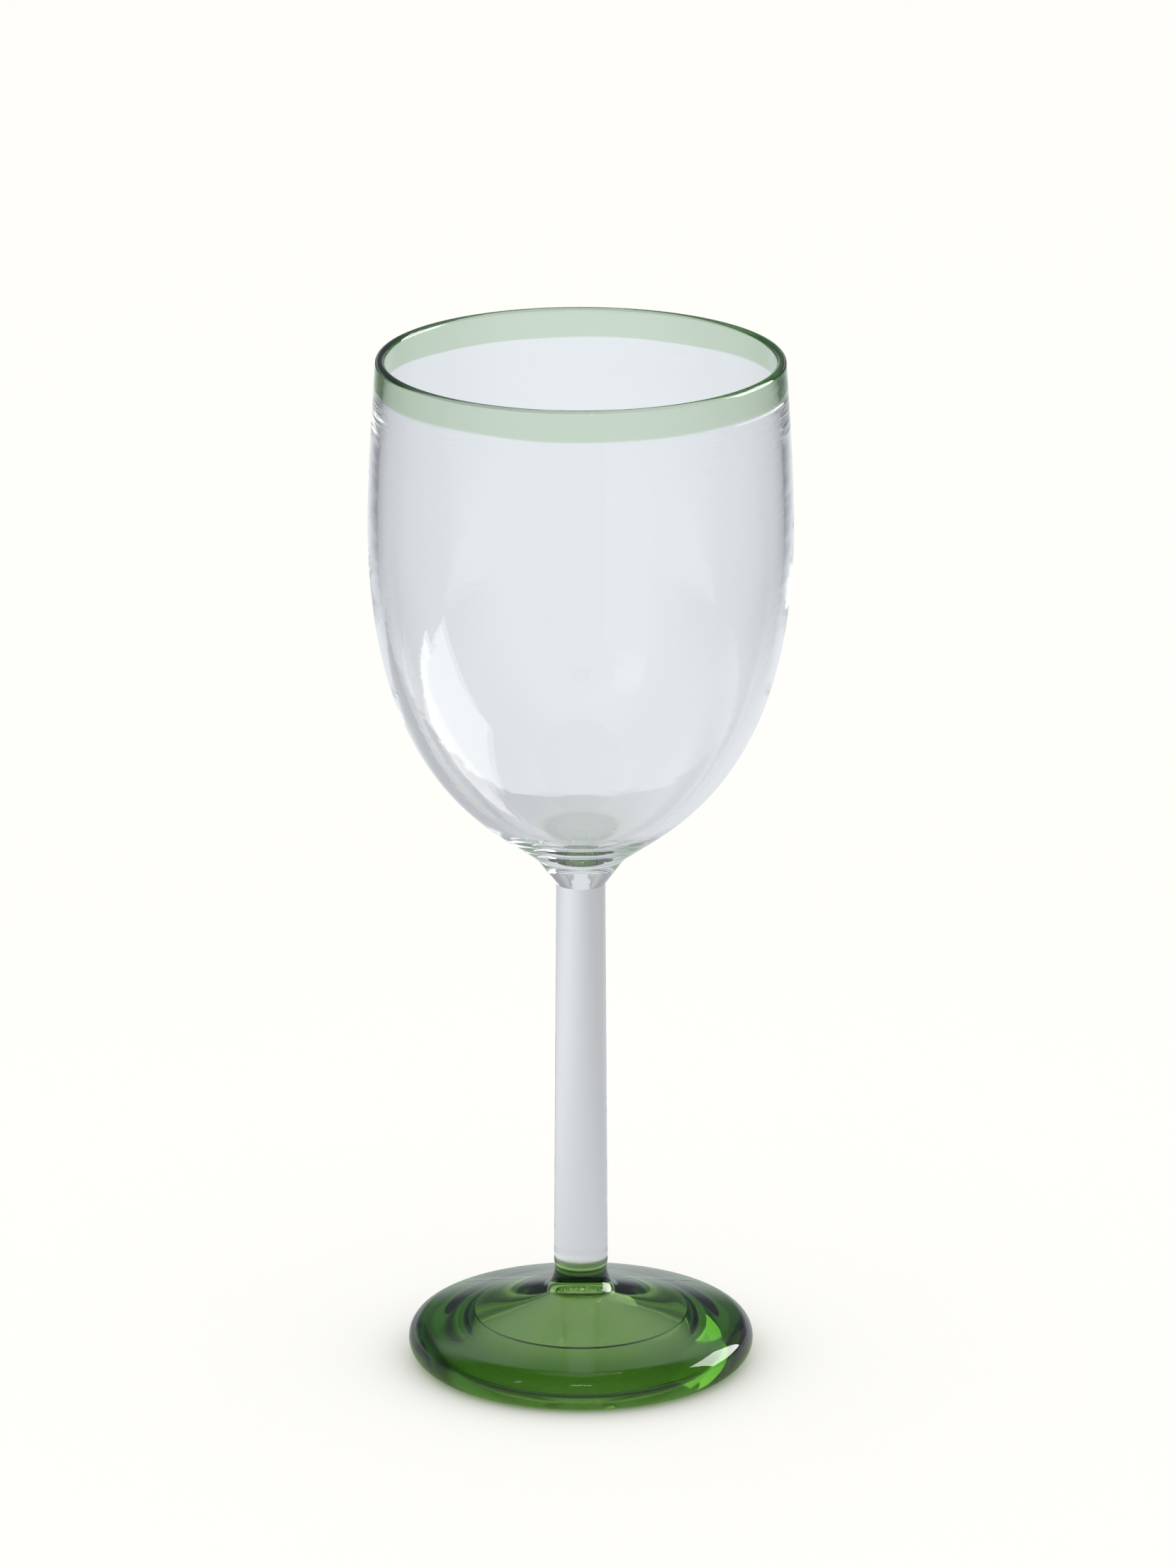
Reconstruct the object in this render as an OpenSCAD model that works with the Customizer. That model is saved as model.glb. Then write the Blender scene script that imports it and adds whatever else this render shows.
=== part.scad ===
// Stemmed wine glass: blown clear bowl with a green rim band, clear neck and stem, green foot.
// Every piece is a solid of revolution about Z. The pieces meet face to face where they are fused.
// Millimetres, +Z up, origin on the table at the centre of the foot.

/* [Overall] */
// Height from the table to the lip
total_h = 206; // [190:1:225]

/* [Rim band] */
// Outer diameter at the lip
rim_d = 79.6; // [74:0.2:84]
// Height of the green band
band_h = 6; // [3:0.5:12]

/* [Bowl] */
// Widest outer diameter of the bowl
belly_d = 83; // [78:0.5:90]
// Height of the widest point above the table
belly_z = 172; // [166:1:180]
// Wall thickness of the bowl and the rim band
wall_t = 1.9; // [1.4:0.1:2.6]
// Height of the bottom of the drinking space above the table
floor_z = 106.4; // [106:0.2:110]

/* [Neck] */
// Height of the weld between the neck and the stem
neck_z = 99.2; // [97:0.2:101]
// Height of the weld between the neck and the bowl
seam_z = 104.4; // [103:0.2:105.4]
// Diameter of the weld between the neck and the bowl
seam_d = 17.2; // [14:0.2:20]
// Depth of the rounded neck tip that is fused into the stem
tip_h = 4; // [2:0.2:4.4]

/* [Stem] */
// Diameter of the stem under the neck
stem_top_d = 9.7; // [9:0.1:11]
// Diameter of the stem just above the foot
stem_foot_d = 10.7; // [9.6:0.1:12]
// Diameter of the weld between the stem and the foot
waist_d = 10.4; // [9.2:0.1:11]
// Height over which the stem draws in to that weld
waist_h = 0.9; // [0.5:0.1:2]

/* [Foot] */
// Outer diameter of the foot
foot_d = 68.7; // [60:0.5:80]
// Thickness of the rounded edge of the foot
edge_t = 8.3; // [6:0.1:9]
// Height of the weld between the foot and the stem
post_z = 19.4; // [18.5:0.1:22]
// Rise of the top of the foot from its edge to its post, in degrees
dome_slope = 15; // [12:0.5:17]
// Width of the flare that turns the post into the foot's top
post_flare_w = 3; // [2:0.5:5]
// Radius of the hollow under the foot
hollow_r = 20.6; // [16:0.2:22]
// Height of the outer edge of the hollow's ceiling
hollow_edge_z = 7.8; // [6:0.2:8.4]
// Height of the kick, the rounded middle of the hollow's ceiling under the post
hollow_top_z = 15; // [13:0.2:15.4]
// Radius of the kick
kick_r = 5; // [4:0.2:6]
// Small step down round the edge of the hollow's ceiling
step_h = 0.8; // [0.2:0.1:1.2]
// Width of the flat ring that the glass stands on
rest_w = 0.8; // [0.5:0.1:2]

/* [Hidden] */
$fn = 96;

clear_glass = [0.87, 0.90, 0.92, 0.5];
green_glass = [0.25, 0.55, 0.20, 0.7];

rim_r = rim_d / 2;
belly_r = belly_d / 2;
seam_r = seam_d / 2;
band_z = total_h - band_h;
lip_r = wall_t / 2;
rim_taper = 0.07;    // how fast the upper wall leans inwards, mm per mm
upper_reach = 20;    // length of the upper curve's handle at the rim
shoulder_reach = 6;  // length of the upper curve's handle at the belly

stem_top_r = stem_top_d / 2;
stem_foot_r = stem_foot_d / 2;
waist_r = waist_d / 2;
tip_r = stem_top_r - 0.5;                                   // a narrow land stays round the tip
tip_sphere_r = (tip_r * tip_r + tip_h * tip_h) / (2 * tip_h);

edge_r = edge_t / 2;
edge_centre = [foot_d / 2 - edge_r, edge_r];
slope_start = edge_centre + edge_r * [sin(dome_slope), cos(dome_slope)];
rest_r = edge_centre[0] - rest_w;
flare_x = waist_r + post_flare_w;
flare_dip = post_flare_w * tan(dome_slope);
flare_h = sqrt(pow(post_z - dome_height(flare_x), 2) - pow(flare_dip, 2)); // meets the dome at a tangent

// Height of the foot's sloping top at radius r
function dome_height(r) = slope_start[1] + (slope_start[0] - r) * tan(dome_slope);

// Point on a cubic curve through p[0] and p[3], with handles p[1] and p[2]
function cubic(p, t) = pow(1 - t, 3) * p[0] + 3 * t * pow(1 - t, 2) * p[1]
    + 3 * t * t * (1 - t) * p[2] + pow(t, 3) * p[3];
function curve(p, n) = [for (i = [0:n]) cubic(p, i / n)];

// Points on an arc of an ellipse with half-axes a and b
function arc(c, a, b, from, to, n) =
    [for (i = [0:n]) let (t = from + (to - from) * i / n) c + [a * cos(t), b * sin(t)]];

// The wall from the belly to the lip, moved inwards by inset
function upper_wall(inset) = [
    [belly_r - inset, belly_z],
    [belly_r - inset, belly_z + shoulder_reach],
    [rim_r - inset + rim_taper * upper_reach, total_h - upper_reach],
    [rim_r - inset, total_h]
];

// The outside of the bowl from the seam to the belly
lower_outside = [
    [seam_r, seam_z],
    [seam_r, seam_z] + 10.5 * [cos(42), sin(42)],
    [belly_r, belly_z - 52],
    [belly_r, belly_z]
];

// The inside of the bowl from its floor to the belly
lower_inside = [
    [0, floor_z],
    [12, floor_z],
    [belly_r - wall_t, belly_z - 51],
    [belly_r - wall_t, belly_z]
];

// The stem's side from the weld on the foot to its full diameter
waist = [
    [waist_r, post_z],
    [waist_r, post_z + waist_h / 3],
    [stem_foot_r, post_z + waist_h * 2 / 3],
    [stem_foot_r, post_z + waist_h]
];

// The ceiling of the hollow under the foot, from its middle to its step
ceiling = [
    [0, hollow_top_z],
    [kick_r, hollow_top_z],
    [kick_r, hollow_edge_z + 3],
    [hollow_r, hollow_edge_z]
];

// The inner side of the foot's thick ring, from the hollow's step to the table
ring_side = [
    [hollow_r, hollow_edge_z - step_h],
    [hollow_r + 3.4, hollow_edge_z - step_h - 2],
    [rest_r - 4, 0],
    [rest_r, 0]
];

function below(points, z) = [for (p = points) if (p[1] < z) p];
function above(points, z) = [for (p = points) if (p[1] > z) p];
function reversed(points) = [for (i = [len(points) - 1:-1:0]) points[i]];

// Radius of the upper wall at height z, found on the curve by halving
function wall_r(inset, z, lo = 0, hi = 1, n = 24) =
    n == 0 ? cubic(upper_wall(inset), lo)[0]
    : cubic(upper_wall(inset), (lo + hi) / 2)[1] < z
        ? wall_r(inset, z, (lo + hi) / 2, hi, n - 1)
        : wall_r(inset, z, lo, (lo + hi) / 2, n - 1);

module revolve(points) {
    rotate_extrude() polygon(points);
}

// Green lip: the last few millimetres of the wall, ending in a round crown
module rim_band() {
    lip_z = total_h - lip_r;
    outside = curve(upper_wall(0), 48);
    inside = curve(upper_wall(wall_t), 48);
    color(green_glass) revolve(concat(
        [[wall_r(0, band_z), band_z]],
        below(above(outside, band_z), lip_z),
        arc([wall_r(lip_r, lip_z), lip_z], lip_r, lip_r, 0, 180, 10),
        reversed(below(above(inside, band_z), lip_z)),
        [[wall_r(wall_t, band_z), band_z]]
    ));
}

// Clear bowl, thick at its floor and open above
module bowl() {
    outside = concat(curve(lower_outside, 24), below(curve(upper_wall(0), 16), band_z));
    inside = concat(curve(lower_inside, 24), below(curve(upper_wall(wall_t), 16), band_z));
    color(clear_glass) revolve(concat(
        [[0, seam_z]],
        outside,
        [[wall_r(0, band_z), band_z], [wall_r(wall_t, band_z), band_z]],
        reversed(inside)
    ));
}

// Solid cone between the bowl and the stem, with a rounded tip below
module neck() {
    color(clear_glass) union() {
        translate([0, 0, neck_z])
            cylinder(h = seam_z - neck_z, r1 = stem_top_r, r2 = seam_r);
        intersection() {
            translate([0, 0, neck_z - tip_h + tip_sphere_r]) sphere(r = tip_sphere_r);
            translate([0, 0, neck_z - tip_h]) cylinder(h = tip_h, r = stem_top_r);
        }
    }
}

// Solid rod, slightly thicker towards the foot, with a cup for the neck's tip
module stem() {
    color(clear_glass) difference() {
        revolve(concat(
            [[0, post_z]],
            curve(waist, 4),
            [[stem_top_r, neck_z], [0, neck_z]]
        ));
        translate([0, 0, neck_z - tip_h + tip_sphere_r]) sphere(r = tip_sphere_r);
    }
}

// Green foot: a sloping disc with a short post, drawn down into a thick round-edged ring
module foot() {
    color(green_glass) revolve(concat(
        curve(ceiling, 20),
        curve(ring_side, 16),
        arc(edge_centre, edge_r, edge_r, -90, 90 - dome_slope, 18),
        arc([flare_x, post_z], post_flare_w, flare_h, 180 + atan2(flare_h, flare_dip), 180, 10),
        [[0, post_z]]
    ));
}

rim_band();
bowl();
neck();
stem();
foot();
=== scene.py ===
"""Looks of the stemmed wine glass: five fused pieces of clear and green glass on a pale sweep."""
import math

import bpy
import numpy as np
from mathutils import Matrix, Vector


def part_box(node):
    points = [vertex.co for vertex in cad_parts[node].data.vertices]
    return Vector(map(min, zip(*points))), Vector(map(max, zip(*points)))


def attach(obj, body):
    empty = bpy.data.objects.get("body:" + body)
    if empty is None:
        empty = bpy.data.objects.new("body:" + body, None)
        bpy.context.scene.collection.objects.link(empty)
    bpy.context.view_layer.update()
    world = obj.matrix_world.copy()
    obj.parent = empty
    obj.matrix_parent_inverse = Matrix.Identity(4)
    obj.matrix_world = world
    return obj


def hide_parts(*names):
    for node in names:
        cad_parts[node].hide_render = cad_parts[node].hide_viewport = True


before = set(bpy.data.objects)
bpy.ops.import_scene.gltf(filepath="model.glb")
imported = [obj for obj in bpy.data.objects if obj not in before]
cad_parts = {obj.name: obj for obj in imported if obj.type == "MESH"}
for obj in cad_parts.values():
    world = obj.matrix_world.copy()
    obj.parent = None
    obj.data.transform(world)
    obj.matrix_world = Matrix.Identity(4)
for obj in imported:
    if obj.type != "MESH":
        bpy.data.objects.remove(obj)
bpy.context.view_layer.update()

MM = 0.001

# ---------------------------------------------------------------- sizes, in millimetres
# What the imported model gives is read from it; the rest repeats the part's driving dimensions.


def low(node):
    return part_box(node)[0] / MM


def high(node):
    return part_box(node)[1] / MM


TOTAL_H = high("rim_band").z
BAND_Z = low("rim_band").z
BELLY_R = high("bowl").x
SEAM_Z = low("bowl").z
SEAM_R = high("neck").x
POST_Z = high("foot").z
STEM_FOOT_R = high("stem").x
NECK_Z = high("stem").z
TIP_H = NECK_Z - low("neck").z
FOOT_R = high("foot").x

RIM_R = 39.8
WALL_T = 1.9
LIP_R = WALL_T / 2
BELLY_Z = 172
FLOOR_Z = 106.4
SHOULDER_REACH = 6       # length of the upper wall's handle at the belly
UPPER_REACH = 20         # length of its handle at the rim
RIM_TAPER = 0.07         # how fast it leans inwards there, mm per mm
SEAM_REACH = 10.5        # length of the lower outside's handle at the seam
SEAM_LEAN = math.radians(42)
LOWER_REACH = 52         # length of its handle at the belly
FLOOR_REACH = 12         # length of the lower inside's handle on the floor
INNER_REACH = 51         # length of its handle at the belly

STEM_TOP_R = 4.85
TIP_LAND = 0.5           # width of the flat weld that stays round the neck's tip
TIP_R = STEM_TOP_R - TIP_LAND
WAIST_R = 5.2
WAIST_H = 0.9

EDGE_R = 4.15
DOME_SLOPE = math.radians(15)
POST_FLARE_W = 3
HOLLOW_R = 20.6
HOLLOW_EDGE_Z = 7.8
HOLLOW_TOP_Z = 15
KICK_R = 5
KICK_REACH = 3           # how far over the hollow's edge the kick's side starts to level out
STEP_H = 0.8
RING_REACH = (3.4, -2)   # handle of the ring's inner side at the hollow's step
REST_REACH = 4           # length of its handle on the table
REST_W = 0.8
REST_R = FOOT_R - EDGE_R - REST_W

TURNS = 320              # faces round each piece
WELD_GAP = 0.01          # the clear side of a weld to a green piece stops this far short of it
SAME = 1e-6              # points closer than this are one point
FINE = 400               # steps of the curve that wall_points reads
SHARP = math.radians(32)  # edges sharper than this aren't smoothed

# ---------------------------------------------------------------- outlines
# Points are (radius, height). The last argument of each function is its number of steps.


def cubic(p, n):
    """n + 1 points on a cubic curve through p[0] and p[3], with handles p[1] and p[2]."""
    t = np.linspace(0, 1, n + 1)[:, None]
    p = np.array(p, float)
    return (1 - t) ** 3 * p[0] + 3 * t * (1 - t) ** 2 * p[1] + 3 * t * t * (1 - t) * p[2] + t**3 * p[3]


def arc(centre, a, b, start, end, n):
    """n + 1 points on an arc of an ellipse with half-axes a and b; start and end are in degrees."""
    t = np.radians(np.linspace(start, end, n + 1))
    return np.column_stack([centre[0] + a * np.cos(t), centre[1] + b * np.sin(t)])


def line(start, end, n):
    return np.linspace(start, end, n + 1)


def touch(a, b):
    """True where two points are one."""
    return np.hypot(*(a - b)) < SAME


def upper_wall(inset):
    """The wall from the belly to the lip, moved inwards by inset."""
    belly = (BELLY_R - inset, BELLY_Z)
    shoulder = (BELLY_R - inset, BELLY_Z + SHOULDER_REACH)
    under_rim = (RIM_R - inset + RIM_TAPER * UPPER_REACH, TOTAL_H - UPPER_REACH)
    return cubic([belly, shoulder, under_rim, (RIM_R - inset, TOTAL_H)], FINE)


def wall_points(inset, z0, z1, n):
    """n + 1 evenly spaced points of the upper wall from z0 to z1."""
    wall = upper_wall(inset)
    z = np.linspace(z0, z1, n + 1)
    return np.column_stack([np.interp(z, wall[:, 1], wall[:, 0]), z])


def joined(*runs):
    """Runs of points end to end, without repeating a point that two runs share."""
    points = [np.asarray(runs[0], float)]
    for run in runs[1:]:
        run = np.asarray(run, float)
        if touch(run[0], points[-1][-1]):
            run = run[1:]
        points.append(run)
    return np.vstack(points)


# ---------------------------------------------------------------- meshes of revolution

WELD = "weld"   # a number on each face: 1 inside a fused joint, which light crosses unbent, and 0 elsewhere

# How the glass is out of true, as waves round it: (number of waves, phase, height).
OUT_OF_ROUND = ((2, 0.6, 0.0016), (3, -1.1, 0.0009))          # height as a share of the radius, at the lip
BAND_WAVES = ((2, 0.9, 0.16), (5, 0, 0.10), (9, 2, 0.06))     # height in mm, at the band's lower edge
BAND_WAVE_REACH = 2.2                                         # mm above and below that edge


def warp(r, z, angle):
    """Moves a point as the hand-made glass is out of true, the same for every piece, so welds stay shut."""
    high_up = np.clip((z - SEAM_Z) / (TOTAL_H - SEAM_Z), 0, 1)
    oval = sum(height * np.cos(count * angle + phase) for count, phase, height in OUT_OF_ROUND)
    near_band = np.exp(-(((z - BAND_Z) / BAND_WAVE_REACH) ** 2))
    wave = sum(height * np.sin(count * angle + phase) for count, phase, height in BAND_WAVES)
    return r * (1 + high_up * oval), z + near_band * wave


def chained(name, runs):
    """The points of all runs in one list, and the mark of each stretch between two points."""
    points, marks = [], []
    for run, mark in runs:
        run = list(np.asarray(run, float))
        marks += [mark] * (len(run) - 1)
        if points and not touch(run[0], points[-1]):
            raise ValueError(name + ": the outline has a gap")
        points += run[1:] if points else run
    return points, marks


def ring_vertices(points):
    """The vertices of the ring that each point sweeps, in metres, and each ring's vertex numbers."""
    angles = np.arange(TURNS) * 2 * math.pi / TURNS
    verts, rings = [], []
    for r, z in points:
        if r < SAME:
            rings.append([len(verts)])
            verts.append((0, 0, z * MM))
            continue
        rr, zz = warp(np.full(TURNS, r), np.full(TURNS, z), angles)
        rings.append(list(range(len(verts), len(verts) + TURNS)))
        verts += list(zip(rr * np.cos(angles) * MM, rr * np.sin(angles) * MM, zz * MM))
    return verts, rings


def strip_between(a, b):
    """The faces between two rings, one of which may be a single vertex on the axis."""
    faces = []
    for k in range(TURNS):
        m = (k + 1) % TURNS
        if len(a) == 1:
            faces.append((a[0], b[m], b[k]))
        elif len(b) == 1:
            faces.append((a[k], a[m], b[0]))
        else:
            faces.append((a[k], a[m], b[m], b[k]))
    return faces


def revolve(name, runs):
    """A closed mesh of revolution. runs is a list of (points, mark), and the mark is 1 in a weld and 0
    elsewhere. Each run starts where the last one ends."""
    points, marks = chained(name, runs)
    closed = touch(points[0], points[-1])
    verts, rings = ring_vertices(points[:-1] if closed else points)
    next_rings = rings[1:] + rings[:1] if closed else rings[1:]
    faces, face_marks = [], []
    for ring, next_ring, mark in zip(rings, next_rings, marks):
        strip = strip_between(ring, next_ring)
        faces += strip
        face_marks += [mark] * len(strip)
    mesh = bpy.data.meshes.new(name)
    mesh.from_pydata(verts, [], faces)
    mesh.attributes.new(WELD, "FLOAT", "FACE").data.foreach_set("value", face_marks)
    mesh.polygons.foreach_set("use_smooth", [True] * len(faces))
    mesh.update()
    mesh.set_sharp_from_angle(angle=SHARP)
    return linked(name, mesh)


def linked(name, data):
    """A new object in the scene."""
    obj = bpy.data.objects.new(name, data)
    bpy.context.scene.collection.objects.link(obj)
    return obj


# ---------------------------------------------------------------- shader building blocks


def new_material(name):
    mat = bpy.data.materials.new(name)
    mat.use_nodes = True
    nt = mat.node_tree
    nt.nodes.clear()
    return mat, nt, nt.nodes.new("ShaderNodeOutputMaterial")


def blended(nt, factor, a, b):
    """Colour a where the factor is 0 and colour b where it is 1. A colour is a tuple or a socket."""
    node = nt.nodes.new("ShaderNodeMix")
    node.data_type = "RGBA"
    nt.links.new(factor, node.inputs["Factor"])
    for socket, colour in (("A", a), ("B", b)):
        if isinstance(colour, tuple):
            node.inputs[socket].default_value = (*colour, 1)
        else:
            nt.links.new(colour, node.inputs[socket])
    return node.outputs["Result"]


def smooth(nt, value, start, end):
    """0 up to start, 1 from end on, and smooth between them."""
    node = nt.nodes.new("ShaderNodeMapRange")
    node.interpolation_type = "SMOOTHSTEP"
    node.inputs["From Min"].default_value = start
    node.inputs["From Max"].default_value = end
    nt.links.new(value, node.inputs["Value"])
    return node.outputs[0]


def mapped(nt, value, low_in, high_in, low_out, high_out):
    """The value with one range turned into another, clamped."""
    node = nt.nodes.new("ShaderNodeMapRange")
    node.inputs["From Min"].default_value = low_in
    node.inputs["From Max"].default_value = high_in
    node.inputs["To Min"].default_value = low_out
    node.inputs["To Max"].default_value = high_out
    nt.links.new(value, node.inputs["Value"])
    return node.outputs[0]


def maths(nt, operation, a, b=None):
    """One sum. Its terms are sockets or numbers."""
    node = nt.nodes.new("ShaderNodeMath")
    node.operation = operation
    for index, value in enumerate((a, b)):
        if isinstance(value, (int, float)):
            node.inputs[index].default_value = value
        elif value is not None:
            nt.links.new(value, node.inputs[index])
    return node.outputs[0]


def parts_of(nt, vector):
    node = nt.nodes.new("ShaderNodeSeparateXYZ")
    nt.links.new(vector, node.inputs[0])
    return node.outputs


def scaled(nt, vector, scale):
    node = nt.nodes.new("ShaderNodeMapping")
    node.inputs["Scale"].default_value = scale
    nt.links.new(vector, node.inputs["Vector"])
    return node.outputs[0]


def noise(nt, vector, scale, detail):
    node = nt.nodes.new("ShaderNodeTexNoise")
    node.inputs["Scale"].default_value = scale
    node.inputs["Detail"].default_value = detail
    nt.links.new(vector, node.inputs["Vector"])
    return node.outputs["Fac"]


# ---------------------------------------------------------------- glass

IOR = 1.5
GREEN = ((0.34, 0.62, 0.0), 235.0)        # what the glass takes off, per metre: (1 - colour) x density
BAND_GREEN = ((0.14, 0.50, 0.0), 185.0)
CLEAR_STRIAE = 0.12
GREEN_STRIAE = 0.2
STRIAE_STRETCH = (14, 14, 70)             # the striae lie round the glass
STRIAE_DETAIL = 2
STRIAE_DEPTH = 0.0004
RING_STRETCH = (6, 6, 260)                # so do the tool rings, far closer together
RING_DETAIL = 1
RING_HEIGHT = 2.5                         # beside striae of height 1
PATTERN_SCALE = 3                         # of both patterns, before their stretch
RING_ZONE = (10, 2)                       # from no rings to full rings, in mm below the band
SMEAR_SCALE = 45
SMEAR_DETAIL = 2
SMEAR_RANGE = (0.45, 0.8)                 # of the pattern, from no smear to a full one
SMEAR_ROUGHNESS = 0.015


def tool_rings(nt, position):
    """The fine rings that the tools leave in the clear wall, fading out below the band."""
    start, end = ((BAND_Z - below) * MM for below in RING_ZONE)
    under_band = smooth(nt, parts_of(nt, position)[2], start, end)
    pattern = noise(nt, scaled(nt, position, RING_STRETCH), PATTERN_SCALE, RING_DETAIL)
    return maths(nt, "MULTIPLY", maths(nt, "MULTIPLY", pattern, RING_HEIGHT), under_band)


def uneven_surface(nt, position, striae, tooled):
    """The normal of a surface with faint striae, and tool rings where it has them."""
    height = noise(nt, scaled(nt, position, STRIAE_STRETCH), PATTERN_SCALE, STRIAE_DETAIL)
    if tooled:
        height = maths(nt, "ADD", height, tool_rings(nt, position))
    bump = nt.nodes.new("ShaderNodeBump")
    bump.inputs["Strength"].default_value = striae
    bump.inputs["Distance"].default_value = STRIAE_DEPTH
    nt.links.new(height, bump.inputs["Height"])
    return bump.outputs[0]


def absorption(nt, colour, density):
    absorb = nt.nodes.new("ShaderNodeVolumeAbsorption")
    absorb.inputs["Color"].default_value = (*colour, 1)
    absorb.inputs["Density"].default_value = density
    return absorb.outputs[0]


def glass(name, striae, volume=None, tooled=False):
    """Fire-polished glass with soft smears. Its welds neither bend nor blur light."""
    mat, nt, out = new_material(name)
    p = nt.nodes.new("ShaderNodeBsdfPrincipled")
    p.inputs["Base Color"].default_value = (1, 1, 1, 1)
    p.inputs["Transmission Weight"].default_value = 1
    p.inputs["IOR"].default_value = IOR
    nt.links.new(p.outputs[0], out.inputs["Surface"])
    attribute = nt.nodes.new("ShaderNodeAttribute")
    attribute.attribute_name = WELD
    welded = attribute.outputs["Fac"]
    nt.links.new(mapped(nt, welded, 0, 1, IOR, 1), p.inputs["IOR"])
    position = nt.nodes.new("ShaderNodeTexCoord").outputs["Object"]
    nt.links.new(uneven_surface(nt, position, striae, tooled), p.inputs["Normal"])
    smears = noise(nt, position, SMEAR_SCALE, SMEAR_DETAIL)
    smeared = mapped(nt, smears, *SMEAR_RANGE, 0, SMEAR_ROUGHNESS)
    rough = maths(nt, "MULTIPLY", smeared, mapped(nt, welded, 0, 1, 1, 0))
    nt.links.new(rough, p.inputs["Roughness"])
    if volume:
        nt.links.new(absorption(nt, *volume), out.inputs["Volume"])
    return mat


def open_weld(name):
    """The face of a piece of clear glass inside a fused joint. Light doesn't see it."""
    mat, nt, out = new_material(name)
    p = nt.nodes.new("ShaderNodeBsdfPrincipled")
    p.inputs["Alpha"].default_value = 0
    nt.links.new(p.outputs[0], out.inputs["Surface"])
    return mat


def dress(piece, body, weld=None):
    """Gives a piece its glass, and its welds a material of their own where there is one."""
    piece.data.materials.append(body)
    if weld is None:
        return
    piece.data.materials.append(weld)
    marks = np.zeros(len(piece.data.polygons), np.float32)
    piece.data.attributes[WELD].data.foreach_get("value", marks)
    piece.data.polygons.foreach_set("material_index", marks.astype(np.int32))


# ---------------------------------------------------------------- the five pieces


def rim_band_piece():
    """The green lip: the last of the wall, ending in a round crown."""
    lip_z = TOTAL_H - LIP_R
    lip_centre = (wall_points(LIP_R, lip_z, TOTAL_H, 1)[0][0], lip_z)
    outside = wall_points(0, BAND_Z, lip_z, 24)
    inside = wall_points(WALL_T, BAND_Z, lip_z, 24)
    crown = arc(lip_centre, LIP_R, LIP_R, 0, 180, 24)
    crown[0] = outside[-1]
    crown[-1] = inside[-1]
    wall = joined(outside, crown, inside[::-1])
    return revolve("rim_band_glass", [(wall, 0), (line(inside[0], outside[0], 2), 1)])


def bowl_piece():
    """The clear bowl, thick at its floor and open above."""
    top = BAND_Z - WELD_GAP
    seam = (SEAM_R, SEAM_Z)
    seam_handle = (SEAM_R + SEAM_REACH * math.cos(SEAM_LEAN), SEAM_Z + SEAM_REACH * math.sin(SEAM_LEAN))
    lower_outside = cubic([seam, seam_handle, (BELLY_R, BELLY_Z - LOWER_REACH), (BELLY_R, BELLY_Z)], 100)
    outside = joined(lower_outside, wall_points(0, BELLY_Z, top, 46))
    inner_r = BELLY_R - WALL_T
    inner_handle = (inner_r, BELLY_Z - INNER_REACH)
    lower_inside = cubic([(0, FLOOR_Z), (FLOOR_REACH, FLOOR_Z), inner_handle, (inner_r, BELLY_Z)], 100)
    inside = joined(lower_inside, wall_points(WALL_T, BELLY_Z, top, 46))
    under_floor = line((0, SEAM_Z), seam, 6)
    under_band = line(outside[-1], inside[-1], 2)
    return revolve("bowl_glass", [(under_floor, 1), (outside, 0), (under_band, 1), (inside[::-1], 0)])


def neck_tip():
    """The neck's rounded tip, which fills the cup in the stem, from the axis outwards."""
    radius = (TIP_R**2 + TIP_H**2) / (2 * TIP_H)
    half = math.degrees(math.asin(TIP_R / radius))
    if TIP_H > radius:
        half = 180 - half
    tip = arc((0, NECK_Z - TIP_H + radius), radius, radius, -90, -90 + half, 24)
    tip[0][0] = 0
    tip[-1] = (TIP_R, NECK_Z)
    return tip


def neck_piece():
    """The solid cone between the bowl and the stem."""
    weld_below = joined(neck_tip(), line((TIP_R, NECK_Z), (STEM_TOP_R, NECK_Z), 2))
    side = line((STEM_TOP_R, NECK_Z), (SEAM_R, SEAM_Z), 30)
    weld_above = line((SEAM_R, SEAM_Z), (0, SEAM_Z), 6)
    return revolve("neck_glass", [(weld_below, 1), (side, 0), (weld_above, 1)])


def stem_piece():
    """The rod, drawn in at its weld on the foot, with a cup for the neck's tip."""
    bottom = POST_Z + WELD_GAP
    waist_low = (WAIST_R, bottom + WAIST_H / 3)
    waist_high = (STEM_FOOT_R, bottom + WAIST_H * 2 / 3)
    waist_top = (STEM_FOOT_R, bottom + WAIST_H)
    waist = cubic([(WAIST_R, bottom), waist_low, waist_high, waist_top], 16)
    side = joined(waist, line(waist_top, (STEM_TOP_R, NECK_Z), 160))
    weld_below = line((0, bottom), (WAIST_R, bottom), 6)
    weld_above = joined(line((STEM_TOP_R, NECK_Z), (TIP_R, NECK_Z), 2), neck_tip()[::-1])
    return revolve("stem_glass", [(weld_below, 1), (side, 0), (weld_above, 1)])


def dome_z(r):
    """Height of the foot's sloping top at radius r."""
    start_r = FOOT_R - EDGE_R + EDGE_R * math.sin(DOME_SLOPE)
    start_z = EDGE_R + EDGE_R * math.cos(DOME_SLOPE)
    return start_z + (start_r - r) * math.tan(DOME_SLOPE)


def foot_underside():
    """From the middle of the hollow's ceiling over its step to the ring that stands on the table."""
    kick_handle = (KICK_R, HOLLOW_EDGE_Z + KICK_REACH)
    ceiling = cubic([(0, HOLLOW_TOP_Z), (KICK_R, HOLLOW_TOP_Z), kick_handle, (HOLLOW_R, HOLLOW_EDGE_Z)], 80)
    step = (HOLLOW_R, HOLLOW_EDGE_Z - STEP_H)
    step_handle = (step[0] + RING_REACH[0], step[1] + RING_REACH[1])
    ring_side = cubic([step, step_handle, (REST_R - REST_REACH, 0), (REST_R, 0)], 48)
    return joined(ceiling, line((HOLLOW_R, HOLLOW_EDGE_Z), ring_side[0], 2), ring_side)


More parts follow.
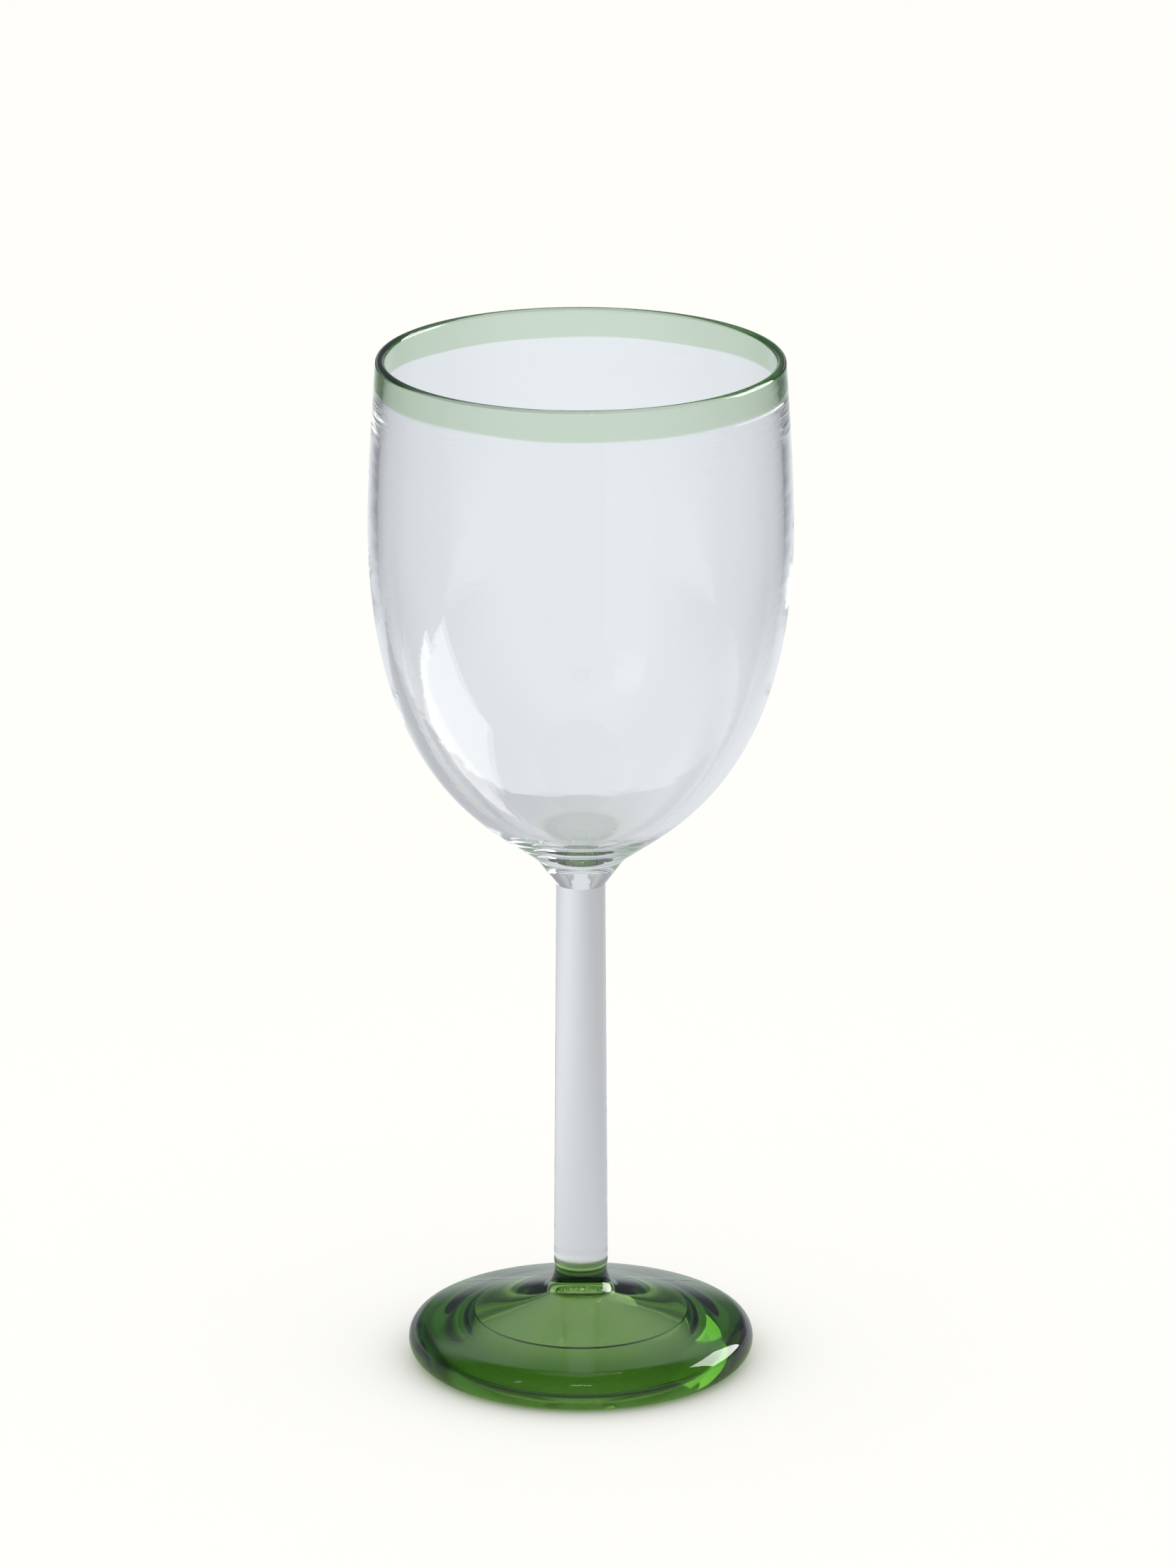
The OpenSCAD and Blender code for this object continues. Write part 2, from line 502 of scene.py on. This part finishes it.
def foot_piece():
    """The green foot: a sloping sheet with a flared post, drawn down into a thick rounded ring."""
    flare_x = WAIST_R + POST_FLARE_W
    flare_dip = POST_FLARE_W * math.tan(DOME_SLOPE)
    flare_h = math.sqrt((POST_Z - dome_z(flare_x)) ** 2 - flare_dip**2)
    flare_deg = math.degrees(math.atan2(flare_h, flare_dip))
    flare = arc((flare_x, POST_Z), POST_FLARE_W, flare_h, 180 + flare_deg, 180, 32)
    edge_centre = (FOOT_R - EDGE_R, EDGE_R)
    edge = arc(edge_centre, EDGE_R, EDGE_R, -90, 90 - math.degrees(DOME_SLOPE), 64)
    underside = foot_underside()
    rest = line(underside[-1], edge[0], 12)
    outside = joined(underside, rest, edge, line(edge[-1], flare[0], 60), flare)
    return revolve("foot_glass", [(outside, 0), (line((WAIST_R, POST_Z), (0, POST_Z), 6), 1)])


def build_glass():
    clear = glass("clear_glass", CLEAR_STRIAE, tooled=True)
    green = glass("green_glass", GREEN_STRIAE, GREEN)
    band_green = glass("band_green_glass", GREEN_STRIAE, BAND_GREEN)
    clear_weld = open_weld("clear_weld")
    rim_band = rim_band_piece()
    bowl = bowl_piece()
    neck = neck_piece()
    stem = stem_piece()
    foot = foot_piece()
    for piece, node, body in ((rim_band, "rim_band", band_green), (foot, "foot", green)):
        dress(piece, body)
        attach(piece, "root")
        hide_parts(node)
    for piece, node in ((bowl, "bowl"), (neck, "neck"), (stem, "stem")):
        dress(piece, clear, clear_weld)
        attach(piece, "root")
        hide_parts(node)


# ---------------------------------------------------------------- stage and light, in metres
# The glass sees the room in two ways. "Gloss" is what it mirrors, and "through" is light that has crossed it.

CREAM = (0.991, 0.982, 0.94)          # the background as the camera sees it
CREAM_SWEEP = (0.975, 0.964, 0.925)   # the sweep as the camera sees it
CREAM_PAINTED_LIGHT_NEAR = (1.0, 0.99, 0.955)       # painted light: the sweep as the camera sees it, lighter round the object against the glass's shadow
DAYLIGHT = (1.06, 1.06, 1.06)         # the even light on the sweep
SWEEP = (0.775, 0.812, 0.842)         # the sweep as the glass sees it
NEAR_SHADE_LEFT = (0.47, 0.49, 0.51)        # painted shade on the sweep as the glass sees it, close to the object on its shaded side
NEAR_SHADE_RIGHT = (0.755, 0.775, 0.80)     # lighter painted shade on the same, on the object's lit side
GREEN_LIT_FOOT_SHADOW = (0.62, 0.76, 0.48)       # painted shadow on the sweep under the foot, as the glass sees it, tinted green as light that has crossed the green glass
GAP = (0.16, 0.18, 0.20)              # the dim gap between the sweep and the light behind it
ROOM = (0.12, 0.12, 0.13)             # the room beside and in front of the sweep, in gloss
ROOM_THROUGH = (0.30, 0.31, 0.33)     # the room beside it, through
FRONT_THROUGH = (0.80, 0.83, 0.86)    # the room in front, through
CEILING = (0.06, 0.065, 0.07)         # the room overhead, in gloss
CEILING_THROUGH = (0.62, 0.64, 0.66)  # the same, through

FLOOR_HALF = 30
FLOOR_DROP = 0.00003                  # a hair under the foot, so that the two faces don't share a plane

# Where one tone of the floor turns into the next: distances from the axis, or along x or y.
FOOT_FADE = (FOOT_R * MM, 0.05)
SIDE_FADE = (-0.12, 0.12)             # x, from the shaded side to the lit side
FAR_FADE = (0.10, 0.45)               # in gloss
NEAR_SHADE_END = (0.32, 0.332)              # y, through: where the painted shade close to the object ends, the edge that the bottom of the bowl shows
BESIDE_FADE = (0.12, 0.45)
FRONT_FADE = (0.05, 0.40)
CREAM_FADE = (0.08, 0.35)

# Where one tone of the room turns into the next: parts of a direction's unit vector.
BEHIND = (0.10, 0.60)                 # y
IN_FRONT = (0.25, 0.75)               # -y
SWEEP_TO_GAP = (0.0, 0.24)            # z, as are the rest
GAP_TO_BACKDROP = (0.45, 0.62)
GAP_TO_BACKDROP_THROUGH = (0.30, 0.50)
TO_CEILING = (0.70, 0.86)
TO_CEILING_THROUGH = (0.74, 0.96)


def flat_sheet(name, x, y, z=0):
    """An object that is one rectangle, reaching x and y each way from its middle."""
    mesh = bpy.data.meshes.new(name)
    mesh.from_pydata([(-x, -y, z), (x, -y, z), (x, y, z), (-x, y, z)], [], [(0, 1, 2, 3)])
    return linked(name, mesh)


def floor_tones(nt):
    """The floor's colour in gloss, through the glass, and to the camera. For the glass it has painted shade
    round the object and a green-lit painted shadow under the foot, and for the camera painted light round the
    object.
    """
    where = nt.nodes.new("ShaderNodeNewGeometry").outputs["Position"]
    x, y, _ = parts_of(nt, where)
    length = nt.nodes.new("ShaderNodeVectorMath")
    length.operation = "LENGTH"
    nt.links.new(where, length.inputs[0])
    distance = length.outputs["Value"]
    # Close to the object the floor is painted in shade for the glass, darker on its left than on its right.
    shade_beside_foot = blended(nt, smooth(nt, x, *SIDE_FADE), NEAR_SHADE_LEFT, NEAR_SHADE_RIGHT)
    # Under the foot, a painted shadow, tinted green as painted light that has crossed the foot.
    near_shade = blended(nt, smooth(nt, distance, *FOOT_FADE), GREEN_LIT_FOOT_SHADOW, shade_beside_foot)
    beside = smooth(nt, maths(nt, "ABSOLUTE", x), *BESIDE_FADE)
    in_front = smooth(nt, maths(nt, "MULTIPLY", y, -1.0), *FRONT_FADE)
    sweep_gloss = blended(nt, smooth(nt, distance, *FAR_FADE), near_shade, SWEEP)
    gloss = blended(nt, maths(nt, "MAXIMUM", beside, in_front), sweep_gloss, ROOM)
    sweep_through = blended(nt, smooth(nt, y, *NEAR_SHADE_END), near_shade, SWEEP)
    through = blended(nt, in_front, blended(nt, beside, sweep_through, ROOM_THROUGH), FRONT_THROUGH)
    # To the camera the floor is painted lighter round the object: painted light that hides the glass's
    # shadow.
    return gloss, through, blended(nt, smooth(nt, distance, *CREAM_FADE), CREAM_PAINTED_LIGHT_NEAR, CREAM_SWEEP)


def build_floor():
    floor = flat_sheet("sweep", FLOOR_HALF, FLOOR_HALF, -FLOOR_DROP)
    mat, nt, out = new_material("sweep")
    gloss, through, to_camera = floor_tones(nt)
    path = nt.nodes.new("ShaderNodeLightPath")
    seen = blended(nt, path.outputs["Is Transmission Ray"], gloss, through)
    diffuse = nt.nodes.new("ShaderNodeBsdfDiffuse")
    nt.links.new(blended(nt, path.outputs["Is Camera Ray"], seen, to_camera), diffuse.inputs["Color"])
    nt.links.new(diffuse.outputs[0], out.inputs["Surface"])
    floor.data.materials.append(mat)


def room_tones(nt):
    """The room's colour in gloss and through the glass."""
    _, y, z = parts_of(nt, nt.nodes.new("ShaderNodeTexCoord").outputs["Generated"])
    behind = smooth(nt, y, *BEHIND)
    in_front = smooth(nt, maths(nt, "MULTIPLY", y, -1.0), *IN_FRONT)
    over_sweep = blended(nt, smooth(nt, z, *SWEEP_TO_GAP), SWEEP, GAP)
    backdrop = blended(nt, smooth(nt, z, *GAP_TO_BACKDROP), over_sweep, SWEEP)
    gloss = blended(nt, smooth(nt, z, *TO_CEILING), blended(nt, behind, ROOM, backdrop), CEILING)
    backdrop_through = blended(nt, smooth(nt, z, *GAP_TO_BACKDROP_THROUGH), over_sweep, SWEEP)
    beside = blended(nt, behind, ROOM_THROUGH, backdrop_through)
    walls = blended(nt, in_front, beside, FRONT_THROUGH)
    return gloss, blended(nt, smooth(nt, z, *TO_CEILING_THROUGH), walls, CEILING_THROUGH)


def build_world():
    world = bpy.data.worlds.new("studio")
    bpy.context.scene.world = world
    world.use_nodes = True
    nt = world.node_tree
    nt.nodes.clear()
    out = nt.nodes.new("ShaderNodeOutputWorld")
    path = nt.nodes.new("ShaderNodeLightPath")
    glassy = blended(nt, path.outputs["Is Transmission Ray"], *room_tones(nt))
    lit = maths(nt, "MINIMUM", path.outputs["Diffuse Depth"], 1.0)
    seen = blended(nt, lit, glassy, DAYLIGHT)
    back = nt.nodes.new("ShaderNodeBackground")
    nt.links.new(blended(nt, path.outputs["Is Camera Ray"], seen, CREAM), back.inputs["Color"])
    nt.links.new(back.outputs[0], out.inputs["Surface"])


def panel_strength(nt, gloss, through, straight):
    """A panel's brightness: gloss, through, and straight where light crosses the glass unreflected."""
    path = nt.nodes.new("ShaderNodeLightPath")
    crossed = path.outputs["Is Transmission Ray"]
    strength = mapped(nt, maths(nt, "MAXIMUM", crossed, path.outputs["Diffuse Depth"]), 0, 1, gloss, through)
    if straight is None:
        return strength
    change = mapped(nt, path.outputs["Glossy Depth"], 0, 1, straight - through, 0)
    return maths(nt, "ADD", strength, maths(nt, "MULTIPLY", change, crossed))


def emission_panel(name, centre, facing, size, gloss, through, straight=None):
    """A soft light that only the glass sees."""
    panel = flat_sheet(name, size[0] / 2, size[1] / 2)
    toward = (Vector(facing) - Vector(centre)).normalized()
    panel.matrix_world = Matrix.Translation(centre) @ toward.to_track_quat("Z", "Y").to_matrix().to_4x4()
    mat, nt, out = new_material(name)
    em = nt.nodes.new("ShaderNodeEmission")
    nt.links.new(panel_strength(nt, gloss, through, straight), em.inputs["Strength"])
    nt.links.new(em.outputs[0], out.inputs["Surface"])
    panel.data.materials.append(mat)
    panel.visible_camera = False
    panel.visible_diffuse = False
    panel.visible_shadow = False


def build_panels():
    low_bowl = (0, 0, 0.12)
    stem = (0, 0, 0.1)
    right, back = (0.85, 0.36, 0.46), (0.95, 0.85, 0.45)
    left, front = (-0.80, -0.80, 0.70), (0, -1.3, 1.0)
    emission_panel("soft_box_right", right, low_bowl, (0.65, 0.60), gloss=9.0, through=2.4, straight=0.8)
    emission_panel("soft_box_back", back, stem, (0.9, 0.7), gloss=0.3, through=3.2)
    emission_panel("soft_box_left", left, stem, (0.08, 0.30), gloss=2.0, through=0.8)
    emission_panel("soft_box_front", front, stem, (0.35, 0.12), gloss=5.0, through=0.6)


# ---------------------------------------------------------------- camera and light paths

CAMERA_PLACE = (0, -1.86, 0.7029)
CAMERA_DOWN = math.radians(17.415)
CAMERA_TURN = -0.00076
LENS = 227.96
SENSOR = 36
BOUNCES = 160          # the lip pipes light round the rim and stays black with fewer
TRANSPARENT_BOUNCES = 48
BRIGHTEST_SAMPLE = 8   # brighter stray paths are held to this, which keeps speckle down


def build_camera():
    data = bpy.data.cameras.new("camera")
    data.sensor_width = SENSOR
    data.lens = LENS
    camera = linked("camera", data)
    camera.location = CAMERA_PLACE
    camera.rotation_euler = (math.radians(90) - CAMERA_DOWN, 0, CAMERA_TURN)
    bpy.context.scene.camera = camera


def set_light_paths():
    scene = bpy.context.scene
    scene.view_settings.view_transform = "Standard"
    scene.cycles.use_denoising = True
    scene.cycles.max_bounces = BOUNCES
    scene.cycles.transmission_bounces = BOUNCES
    scene.cycles.glossy_bounces = BOUNCES
    scene.cycles.transparent_max_bounces = TRANSPARENT_BOUNCES
    scene.cycles.sample_clamp_indirect = BRIGHTEST_SAMPLE


build_glass()
build_floor()
build_world()
build_panels()
build_camera()
set_light_paths()
